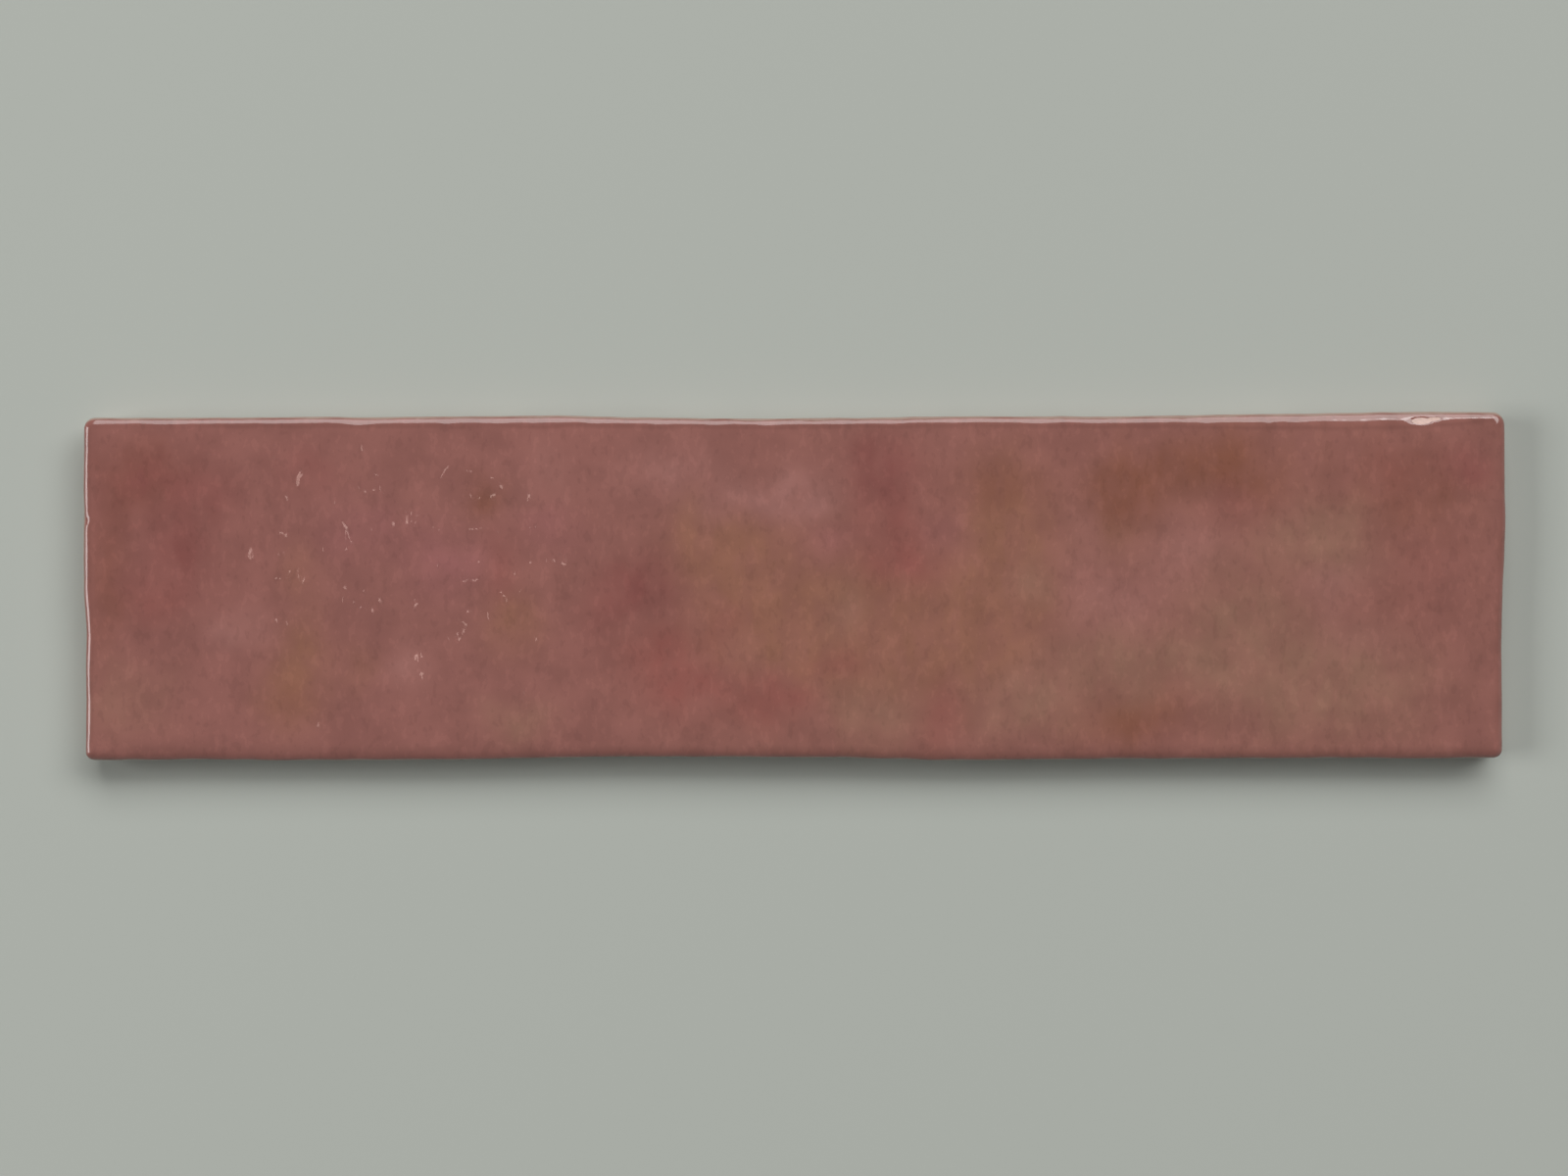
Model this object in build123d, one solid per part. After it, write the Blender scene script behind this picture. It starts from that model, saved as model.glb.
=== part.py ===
from build123d import *

import os
from math import ceil, cos, floor, radians, sin, tau
from typing import NamedTuple

# A glazed wall tile with a hand-made look: one fired piece, lying face up on its keyed back.
# Millimetres. X runs along the tile, Y across it, and Z up out of the glazed face.
# The origin is the middle of the back, on the plane that the tile rests on.


class Corner(NamedTuple):
    """A corner of the plan: its steps outwards from the nominal rectangle, and its rounding."""

    out_x: float
    out_y: float
    rounding: float  # plan radius, beyond that of the arris


class Wave(NamedTuple):
    """A swell of the face: crest height and spacing, and its heading from +X and phase in degrees."""

    height: float
    spacing: float
    heading: float
    phase: float


# Nominal size
LENGTH = 250.0
WIDTH = 60.0
THICKNESS = 8.5  # from the back to the middle level of the face

# Edges of the section
ARRIS_RADIUS = 1.2  # the rounded, glazed edge all round the face
BACK_CHAMFER = 0.5  # the pressed bevel all round the back
EDGE_FALL = 0.2  # how far the face sinks towards its edges
EDGE_REACH = 5.0  # how far in from an edge the face starts to sink

# Corners of the plan, seen from above with the front side nearest
FRONT_LEFT = Corner(out_x=-0.2, out_y=0.4, rounding=0.2)
FRONT_RIGHT = Corner(out_x=-0.25, out_y=0.0, rounding=0.3)
BACK_RIGHT = Corner(out_x=0.2, out_y=0.95, rounding=1.0)
BACK_LEFT = Corner(out_x=0.1, out_y=-0.05, rounding=0.7)

# Waver of the sides: steps outwards from the nominal rectangle, evenly spaced from one corner
# to the next, going round the plan counterclockwise
FRONT_WAVER = (0.3, 0.4, 0.35, 0.3, -0.05, -0.2, -0.15, -0.05, 0.35, 0.3, 0.2, 0.1, 0.0, 0.1)
RIGHT_WAVER = (-0.3, -0.35, -0.1, 0.25, 0.2)
BACK_WAVER = (1.0, 0.75, 0.5, 0.25, 0.25, 0.2, -0.05, -0.15, 0.0, 0.35, 0.25, 0.1, 0.1, 0.0)
LEFT_WAVER = (0.2, 0.15, 0.15, 0.1, -0.3, -0.25, -0.3)

# Swell of the face
FACE_WAVES = (
    Wave(height=0.10, spacing=118.0, heading=14.0, phase=35.0),
    Wave(height=0.07, spacing=61.0, heading=108.0, phase=160.0),
    Wave(height=0.05, spacing=43.0, heading=-38.0, phase=250.0),
)

# Keyed back: shallow pockets between raised ribs
KEY_PITCH_ALONG = 24.0
KEY_PITCH_ACROSS = 16.0
KEY_RIB = 3.0
KEY_DEPTH = 0.7
KEY_CORNER = 1.5  # plan radius of a pocket's corners
KEY_DRAFT = 30.0  # lean of a pocket's sides, in degrees
KEY_BORDER = 5.0  # least plain border around the pockets

EAST, NORTH, WEST, SOUTH = Vector(1, 0), Vector(0, 1), Vector(-1, 0), Vector(0, -1)


def corner_arc(corner: Corner, quadrant: Vector, arriving: Vector) -> Edge:
    """The quarter round of one plan corner, met along arriving and left a quarter turn on."""
    tip = Vector(
        quadrant.X * (LENGTH / 2 + corner.out_x),
        quadrant.Y * (WIDTH / 2 + corner.out_y),
    )
    radius = ARRIS_RADIUS + corner.rounding
    return JernArc(tip - arriving * radius, arriving, radius, 90)


def wavering_side(start: Vector, end: Vector, along: Vector, waver: tuple[float, ...]) -> Edge:
    """A side from one corner round to the next, tangent to both and wavering in between."""
    outward = along.rotate(Axis.Z, -90)
    nominal = Vector(outward.X * LENGTH / 2, outward.Y * WIDTH / 2)
    first, last = start.dot(along), end.dot(along)
    points = [start]
    for i, step in enumerate(waver, 1):
        station = first + (last - first) * i / (len(waver) + 1)
        points.append(nominal + along * station + outward * step)
    points.append(end)
    return Spline(*points, tangents=(along, along))


def plan() -> Face:
    """The tile's plan: four wavering sides between four rounded corners."""
    corners = (
        corner_arc(FRONT_LEFT, SOUTH + WEST, SOUTH),
        corner_arc(FRONT_RIGHT, SOUTH + EAST, EAST),
        corner_arc(BACK_RIGHT, NORTH + EAST, NORTH),
        corner_arc(BACK_LEFT, NORTH + WEST, WEST),
    )
    runs = (
        (EAST, FRONT_WAVER),
        (NORTH, RIGHT_WAVER),
        (WEST, BACK_WAVER),
        (SOUTH, LEFT_WAVER),
    )
    sides = []
    for i, (along, waver) in enumerate(runs):
        following = corners[(i + 1) % len(corners)]
        sides.append(wavering_side(corners[i] @ 1, following @ 0, along, waver))
    return make_face([*corners, *sides])


def face_level(x: float, y: float) -> float:
    """Height of the glazed face above the back: level, with its swells, sinking to its edges."""
    inset = min(LENGTH / 2 - abs(x), WIDTH / 2 - abs(y)) / EDGE_REACH
    inset = min(max(inset, 0.0), 1.0)
    level = THICKNESS - EDGE_FALL * (1 - inset * inset * (3 - 2 * inset))
    for wave in FACE_WAVES:
        heading = radians(wave.heading)
        travel = x * cos(heading) + y * sin(heading)
        level += wave.height * cos(tau * travel / wave.spacing + radians(wave.phase))
    return level


def stations(span: float) -> list[float]:
    """Places half an edge reach apart, centred on a span and running one reach past its ends."""
    spacing = EDGE_REACH / 2
    count = ceil((span + 2 * EDGE_REACH) / spacing)
    return [(i - count / 2) * spacing for i in range(count + 1)]


def glazed_face() -> Face:
    """The swelling surface that trims the top of the tile."""
    rows = []
    for x in stations(LENGTH):
        rows.append([Vector(x, y, face_level(x, y)) for y in stations(WIDTH)])
    return Face.make_surface_from_array_of_points(rows, min_deg=3)


def pockets_in(span: float, pitch: float) -> int:
    """How many pockets fit side by side in a span, within its plain borders."""
    return floor((span - 2 * KEY_BORDER + KEY_RIB) / pitch)


def key_pockets() -> list[Part]:
    """The drafted pockets pressed into the back."""
    mouth = RectangleRounded(KEY_PITCH_ALONG - KEY_RIB, KEY_PITCH_ACROSS - KEY_RIB, KEY_CORNER)
    pocket = extrude(mouth, KEY_DEPTH, taper=KEY_DRAFT)
    columns = pockets_in(LENGTH, KEY_PITCH_ALONG)
    rows = pockets_in(WIDTH, KEY_PITCH_ACROSS)
    return [place * pocket for place in GridLocations(KEY_PITCH_ALONG, KEY_PITCH_ACROSS, columns, rows)]


def glazed_tile() -> Part:
    """The whole tile: a slab of its plan, trimmed, rounded, bevelled, centred and keyed."""
    stock = 2 * THICKNESS
    tile = extrude(plan(), stock) - extrude(glazed_face(), stock, dir=(0, 0, 1))
    tile = fillet(tile.faces().sort_by(Axis.Z)[-1].edges(), ARRIS_RADIUS)
    tile = chamfer(tile.faces().sort_by(Axis.Z)[0].edges(), BACK_CHAMFER)
    middle = tile.bounding_box().center()
    return Pos(-middle.X, -middle.Y) * tile - key_pockets()


os.makedirs("parts", exist_ok=True)
export_step(glazed_tile(), "parts/glazed_tile.step")
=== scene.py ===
"""A glazed wall tile with a hand-made look, dressed for rendering.

The tile is modelled in millimetres, face up on its back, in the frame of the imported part, and is
scaled to metres at the end. X runs along the tile, Y across it, and Z up out of the glazed face.
"""

import logging
from collections.abc import Sequence
from dataclasses import dataclass
from enum import Enum
from math import copysign, cos, exp, floor, hypot, pi, radians, sin, sqrt, tan, tau

import bmesh
import bpy
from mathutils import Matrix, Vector, noise


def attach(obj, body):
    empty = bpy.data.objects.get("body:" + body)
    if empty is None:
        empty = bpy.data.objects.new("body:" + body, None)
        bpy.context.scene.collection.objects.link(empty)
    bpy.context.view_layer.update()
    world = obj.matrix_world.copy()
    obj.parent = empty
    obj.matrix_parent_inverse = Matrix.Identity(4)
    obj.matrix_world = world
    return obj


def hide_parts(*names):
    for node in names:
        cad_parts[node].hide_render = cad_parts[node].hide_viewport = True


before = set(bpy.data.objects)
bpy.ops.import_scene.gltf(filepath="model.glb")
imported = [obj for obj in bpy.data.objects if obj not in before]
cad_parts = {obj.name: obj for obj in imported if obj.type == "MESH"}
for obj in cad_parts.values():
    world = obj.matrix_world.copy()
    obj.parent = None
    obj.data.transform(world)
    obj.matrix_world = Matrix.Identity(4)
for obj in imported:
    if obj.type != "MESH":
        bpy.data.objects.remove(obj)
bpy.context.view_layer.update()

MM = 0.001
PIECE = "fired_tile"
NODE = "glazed_tile"
BODY = "root"

Colour = tuple[int, int, int]
Feed = bpy.types.NodeSocket | float

# The screen's colour curve: its white, its straight foot and the bend above it
SCREEN_WHITE = 255
CURVE_FOOT = 0.04045
CURVE_SLOPE = 12.92
CURVE_LIFT = 0.055
CURVE_POWER = 2.4

# Stages down the nominal sheet: the foot of its walls, and the foot of the bevel round the back
WALL_FOOT = -1.0
BEVEL_FOOT = -2.0

# Middle of the renderer's noise, and the sockets of its node that mixes two colours
NOISE_MIDDLE = 0.5
MIX_SHARE, MIX_UNDER, MIX_OVER = 0, 6, 7
MIX_COLOUR = 2

log = logging.getLogger("tile")


class Layer(Enum):
    """The layers of the smooth noise, one for each of its uses."""

    DAPPLE = 3.7
    EDGE = 12.6
    ARRIS = 15.9
    LINE = 21.3
    THIN = 27.4
    PATCH_ALONG = 31.7
    RIM = 36.2
    PATCH_ACROSS = 44.3


def linear(colour: Colour) -> tuple[float, float, float, float]:
    """Turns a colour as seen on a screen, 0 to 255, into the renderer's linear colour.

    Args:
        colour: red, green and blue, as seen.

    Returns:
        Linear red, green and blue, and an alpha of 1.
    """
    parts = []
    for level in colour:
        share = level / SCREEN_WHITE
        if share <= CURVE_FOOT:
            parts.append(share / CURVE_SLOPE)
        else:
            parts.append(((share + CURVE_LIFT) / (1 + CURVE_LIFT)) ** CURVE_POWER)
    red, green, blue = parts
    return red, green, blue, 1.0


def eased(share: float) -> float:
    """Eases a share from 0 to 1, level at both ends."""
    share = min(max(share, 0.0), 1.0)
    return share * share * (3 - 2 * share)


def curve_through(steps: Sequence[float], share: float) -> float:
    """Reads a smooth curve through evenly spaced steps, level at its two ends.

    Args:
        steps: heights of the curve, from its start to its end.
        share: place along the curve, from 0 to 1.

    Returns:
        The curve's height at that place.
    """
    last = len(steps) - 1
    place = min(max(share, 0.0), 1.0) * last
    i = min(int(place), last - 1)
    t = place - i
    rise_in = (steps[i + 1] - steps[i - 1]) / 2 if i > 0 else 0.0
    rise_out = (steps[i + 2] - steps[i]) / 2 if i + 2 <= last else 0.0
    bend = eased(t)
    lean = t * (1 - t) * ((1 - t) * rise_in - t * rise_out)
    return steps[i] + bend * (steps[i + 1] - steps[i]) + lean


def ripple(x: float, y: float, spacing: float, layer: Layer) -> float:
    """Reads smooth noise, about -1 to 1, whose bumps are a spacing apart, in a layer of its own."""
    return noise.noise(Vector((x / spacing, y / spacing, layer.value)))


class Tone(Enum):
    """The tones that the glaze breaks into, away from its main rose."""

    OCHRE = "ochre"
    EMBER = "ember"
    MAUVE = "mauve"
    UMBER = "umber"
    SAGE = "sage"
    PLUM = "plum"
    BLUSH = "blush"


class Mark(Enum):
    """What the mesh carries at each vertex for its finish, besides the shares of the tones."""

    # Pales the arris: partly the glaze run thin over the body, partly a painted sheen
    THIN = "thin_and_sheen"
    OVER_LINE = "over_line"
    # Darkens a band just inside the arris
    RIM = "rim"


@dataclass(frozen=True)
class Patch:
    """A soft patch of one tone on the face: its middle and its reach along and across, in mm."""

    tone: Tone
    x: float
    y: float
    along: float
    across: float
    strength: float = 1.0

    def weight(self, x: float, y: float) -> float:
        """Gives the share of this patch's tone at a place on the face."""
        return self.strength * exp(-(((x - self.x) / self.along) ** 2) - ((y - self.y) / self.across) ** 2)


@dataclass(frozen=True)
class Wave:
    """A swell of the face: crest height and spacing in mm, heading from +X and phase in degrees."""

    height: float
    spacing: float
    heading: float
    phase: float

    def level(self, x: float, y: float) -> float:
        """Gives the swell's height at a place on the face.

        Args:
            x: place along the tile.
            y: place across the tile.

        Returns:
            The height, in mm, above or below the face's middle level.
        """
        heading = radians(self.heading)
        travel = x * cos(heading) + y * sin(heading)
        return self.height * cos(tau * travel / self.spacing + radians(self.phase))


@dataclass(frozen=True)
class Arris:
    """The rounded edge of one side, in mm.

    Its run is its reach in over the face, its drop its reach down the wall, and its thin border
    how far in from the outline it is paler: partly the glaze run thin over the body, partly a
    painted sheen. Its rim is the share by which a band just inside it is darker.
    """

    run: float
    drop: float
    thin_and_sheen: float
    rim: float = 0.0


@dataclass(frozen=True)
class PlanCorner:
    """A corner of the plan: steps outwards from the nominal rectangle, and rounding past the arris."""

    out_x: float
    out_y: float
    rounding: float


@dataclass(frozen=True)
class PlanPoint:
    """A point of the plan: where it lies, how far inside the outline, which way is out, and its bulge.

    The bulge is how far the nearest side steps outwards from the nominal rectangle.
    """

    x: float
    y: float
    depth: float
    out_x: float
    out_y: float
    bulge: float


@dataclass(frozen=True)
class Scoop:
    """A soft dip in the glazed arris: its middle on the plan, its reaches and its depth, in mm.

    Its bare share is how far it has taken the glaze off the body.
    """

    x: float
    y: float
    along: float
    inward: float
    outward: float
    depth: float
    bare: float = 0.0

    def share(self, point: PlanPoint) -> float:
        """Gives the share of the dip's depth at a point of the plan.

        Args:
            point: the point of the plan.

        Returns:
            A share, 1 in the middle of the dip and falling to 0 away from it.
        """
        step_x, step_y = point.x - self.x, point.y - self.y
        out = step_x * point.out_x + step_y * point.out_y
        aside = step_x * point.out_y - step_y * point.out_x
        reach = self.outward if out > 0 else self.inward
        return exp(-((aside / self.along) ** 2) - (out / reach) ** 2)


@dataclass(frozen=True)
class TilePlan:
    """The tile's wavering plan, as a warp of its nominal rectangle, in mm."""

    length: float = 250.0
    width: float = 60.0
    corner_radius: float = 1.2
    front_left: PlanCorner = PlanCorner(out_x=-0.2, out_y=0.4, rounding=0.2)
    front_right: PlanCorner = PlanCorner(out_x=-0.25, out_y=0.0, rounding=0.3)
    back_right: PlanCorner = PlanCorner(out_x=0.2, out_y=0.95, rounding=1.0)
    back_left: PlanCorner = PlanCorner(out_x=0.1, out_y=-0.05, rounding=0.7)
    front_waver: tuple[float, ...] = (
        0.3, 0.4, 0.35, 0.3, -0.05, -0.2, -0.15, -0.05, 0.35, 0.3, 0.2, 0.1, 0.0, 0.1,
    )
    right_waver: tuple[float, ...] = (-0.3, -0.35, -0.1, 0.25, 0.2)
    back_waver: tuple[float, ...] = (
        1.0, 0.75, 0.5, 0.25, 0.25, 0.2, -0.05, -0.15, 0.0, 0.35, 0.25, 0.1, 0.1, 0.0,
    )
    left_waver: tuple[float, ...] = (0.2, 0.15, 0.15, 0.1, -0.3, -0.25, -0.3)
    mitre_spread: float = 2.0
    least_mitre: float = 0.001

    def corner_at(self, x: float, y: float) -> PlanCorner:
        """Gives the corner of the quarter that a point lies in.

        Args:
            x: place along the tile.
            y: place across the tile.

        Returns:
            The nearest of the four corners.
        """
        if y < 0:
            return self.front_left if x < 0 else self.front_right
        return self.back_left if x < 0 else self.back_right

    def steps_out(self, x: float, y: float) -> tuple[float, float, float, float]:
        """Reads how far the four sides step outwards beside a point.

        Args:
            x: place along the tile.
            y: place across the tile.

        Returns:
            Steps outwards of the front, right, back and left sides.
        """
        along = x / (self.length - 2 * self.corner_radius) + 0.5
        across = y / (self.width - 2 * self.corner_radius) + 0.5
        front = (self.front_left.out_y, *self.front_waver, self.front_right.out_y)
        right = (self.front_right.out_x, *self.right_waver, self.back_right.out_x)
        back = (self.back_right.out_y, *self.back_waver, self.back_left.out_y)
        left = (self.back_left.out_x, *self.left_waver, self.front_left.out_x)
        return (
            curve_through(front, along),
            curve_through(right, across),
            curve_through(back, 1 - along),
            curve_through(left, 1 - across),
        )

    def place(self, x: float, y: float) -> PlanPoint:
        """Rounds the corners of the nominal rectangle and lets its sides waver.

        Args:
            x: place along the nominal rectangle.
            y: place across the nominal rectangle.

        Returns:
            The same point of the finished plan.
        """
        radius = self.corner_radius + self.corner_at(x, y).rounding
        side_x, side_y = copysign(1.0, x), copysign(1.0, y)
        gap_x, gap_y = self.length / 2 - abs(x), self.width / 2 - abs(y)
        over_x, over_y = 1 - gap_x / radius, 1 - gap_y / radius
        if over_x > 0 and over_y > 0:
            round_x = over_x * sqrt(1 - over_y * over_y / 2)
            round_y = over_y * sqrt(1 - over_x * over_x / 2)
            reach = hypot(round_x, round_y)
            depth = radius * (1 - reach)
            out_x, out_y = side_x * round_x / reach, side_y * round_y / reach
            x += side_x * radius * (round_x - over_x)
            y += side_y * radius * (round_y - over_y)
        else:
            spread = self.mitre_spread * max(min(gap_x, gap_y) - radius, self.least_mitre)
            share = min(max(0.5 + (gap_y - gap_x) / (2 * spread), 0.0), 1.0)
            depth = gap_x * share + gap_y * (1 - share) - spread * share * (1 - share)
            out_x, out_y = side_x * sqrt(share), side_y * sqrt(1 - share)
        front, right, back, left = self.steps_out(x, y)
        bulge = (right if x > 0 else left) * out_x * out_x + (back if y > 0 else front) * out_y * out_y
        along, across = x / self.length + 0.5, y / self.width + 0.5
        shift_x = right * along - left * (1 - along)
        shift_y = back * across - front * (1 - across)
        return PlanPoint(x + shift_x, y + shift_y, depth, out_x, out_y, bulge)


@dataclass(frozen=True)
class Keying:
    """The shallow pockets that key the back to its adhesive, in mm and degrees."""

    pitch_along: float = 24.0
    pitch_across: float = 16.0
    rib: float = 3.0
    depth: float = 0.7
    corner: float = 1.5
    corner_segments: int = 5
    draft: float = 30.0
    border: float = 5.0
    level_slack: float = 0.01

    def middles(self, span: float, pitch: float) -> list[float]:
        """Spreads the middles of the pockets evenly over a span, within its plain borders."""
        count = floor((span - 2 * self.border + self.rib) / pitch)
        return [(i - (count - 1) / 2) * pitch for i in range(count)]


@dataclass(frozen=True)
class GlazeRelief:
    """The fine relief of the fired glaze, in mm."""

    dapple_height: float = 0.21
    dapple_spacing: float = 5.0
    dapple_stretch: float = 1.4
    fade: float = 3.0
    edge_waver: float = 0.09
    edge_waver_spacing: float = 4.5
    edge_reach: float = 2.5
    arris_waver: float = 0.22
    arris_waver_spacing: float = 7.0
    arris_swell: float = 0.8
    arris_room: float = 20.0
    # The arris's paler border: partly glaze run thin, partly a painted sheen
    thin_and_sheen_waver: float = 0.2
    thin_and_sheen_waver_spacing: float = 5.0
    thin_and_sheen_edge: float = 0.3
    # A darker band just inside the arris, in patches
    rim_inset: float = 0.95
    rim_reach: float = 0.4
    rim_spacing: float = 22.0
    rim_share: float = 0.7
    coat: float = 0.12
    line_height: float = 2.4
    line_wander: float = 1.2
    line_spacing: float = 9.0
    line_blend: float = 0.5

    def face(self, x: float, y: float) -> float:
        """Gives the height of the glaze's dapple at a place on the face."""
        return self.dapple_height * ripple(x, y / self.dapple_stretch, self.dapple_spacing, Layer.DAPPLE)

    def line(self, x: float, y: float) -> float:
        """Gives the height above the back at which the glaze ends on the side walls."""
        return self.line_height + self.line_wander * ripple(x, y, self.line_spacing, Layer.LINE)

    def edge(self, x: float, y: float) -> float:
        """Gives how far the glazed edge steps outwards in its own small waver."""
        return self.edge_waver * ripple(x, y, self.edge_waver_spacing, Layer.EDGE)

    def swell(self, x: float, y: float, bulge: float, room: float) -> float:
        """Gives how much wider the arris is at a place: it wavers, and grows where its side bulges.

        Args:
            x: place along the tile.
            y: place across the tile.
            bulge: how far the side steps outwards there, in mm.
            room: how far the place is from the tile's nearer end, in mm.

        Returns:
            A factor on the arris's run.
        """
        waver = self.arris_waver * ripple(x, y, self.arris_waver_spacing, Layer.ARRIS)
        return 1 + waver + self.arris_swell * eased(bulge) * eased(room / self.arris_room)

    def rim_darkening(self, x: float, y: float, depth: float, run: float) -> float:
        """Gives how much darker the band just inside the arris is.

        Args:
            x: place along the tile.
            y: place across the tile.
            depth: how far inside the outline the place is, in mm.
            run: how far the arris reaches in over the face, in mm.

        Returns:
            A share, 0 away from the rim and up to 1 in it.
        """
        patchy = eased(self.rim_share + ripple(x, y, self.rim_spacing, Layer.RIM))
        return patchy * exp(-(((depth - self.rim_inset * run) / self.rim_reach) ** 2))

    def thin_and_sheen_share(self, x: float, y: float, short: float) -> float:
        """Gives how pale the arris is: partly the glaze run thin, partly a painted sheen.

        Args:
            x: place along the tile.
            y: place across the tile.
            short: how far out over the arris the place is, from where its pale border starts, in mm.

        Returns:
            A share, 0 where the arris is not paled and 1 where it is palest.
        """
        lobe = self.thin_and_sheen_waver * ripple(x, y, self.thin_and_sheen_waver_spacing, Layer.THIN)
        return eased((short + lobe) / self.thin_and_sheen_edge)


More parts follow.
